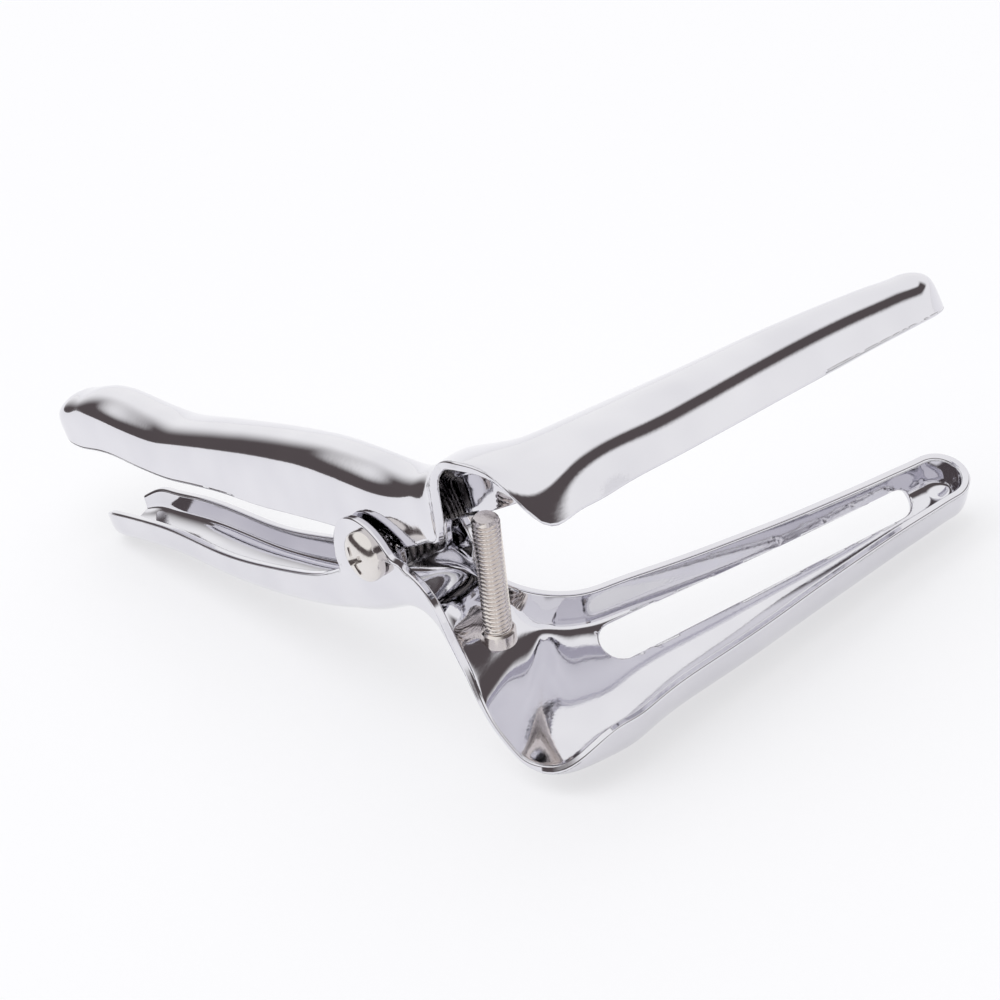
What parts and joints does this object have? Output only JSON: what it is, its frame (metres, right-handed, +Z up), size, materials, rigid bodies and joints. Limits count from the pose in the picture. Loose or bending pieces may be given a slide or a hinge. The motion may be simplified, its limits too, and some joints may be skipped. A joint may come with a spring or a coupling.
{
  "type": "anal speculum",
  "caption": "Hinged two-bladed speculum of polished sheet steel, with a windowed lower blade, channel handles, a spring and a threaded stop rod.",
  "frame": {"origin": "on the table, under the middle of the part's outline", "axes": "+Z up from the table, handles towards -X, blades run along +Y at the +X side; the hinge axis is close to +Y"},
  "size_m": [0.141, 0.0828, 0.05],
  "materials": {
    "polished_steel": "mirror polished",
    "screw_steel": "bright",
    "rod_steel": "bright threaded",
    "spring_steel": "dark, blued"
  },
  "bodies": {
    "lower": {"lower_half": "polished_steel", "hinge_screw": "screw_steel", "hinge_nut": "screw_steel", "stop_rod": "rod_steel", "torsion_spring": "spring_steel"},
    "upper": {"upper_half": "polished_steel"}
  },
  "joints": [
    {"name": "blade_hinge", "type": "hinge", "parent": "lower", "child": "upper", "pos_m": [0.02881, -0.03199, 0.02753], "axis": [0, 0.9969, -0.0785], "range_deg": [-6.5, 21], "stiffness_Nm_per_rad": 0.2, "springref_deg": 1.24}
  ]
}
